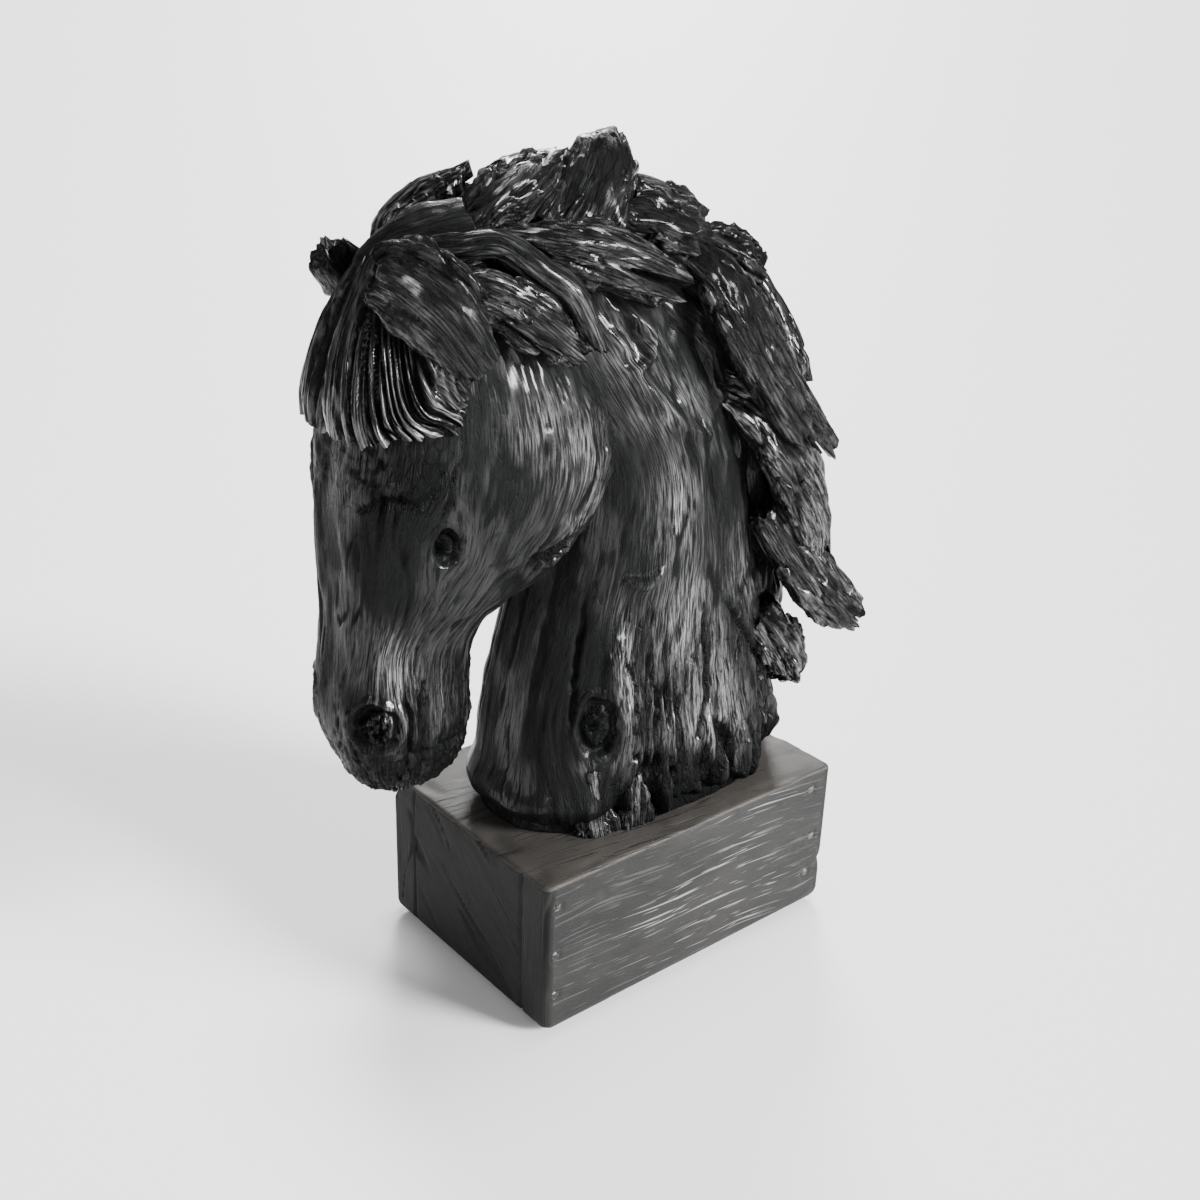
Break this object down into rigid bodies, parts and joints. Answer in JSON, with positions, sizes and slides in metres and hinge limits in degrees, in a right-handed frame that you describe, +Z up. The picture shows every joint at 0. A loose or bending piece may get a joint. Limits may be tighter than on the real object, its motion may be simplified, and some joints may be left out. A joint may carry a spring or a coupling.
{
  "type": "horse head sculpture",
  "caption": "Tucked horse head and neck in driftwood style, with a swept-back mane of layered locks, standing on a rectangular block of nailed boards.",
  "frame": {"origin": "middle of the block's underside", "axes": "+Z up, the horse looks along -X, its left side faces -Y"},
  "size_m": [0.3338, 0.15, 0.465],
  "materials": {
    "figure_resin": "semi-gloss black resin with the wood grain brought out in silver grey",
    "block_resin": "matt charcoal resin with cut grain lines in lighter grey"
  },
  "bodies": {
    "root": {"horse_head": "figure_resin", "plinth": "block_resin"}
  },
  "joints": []
}
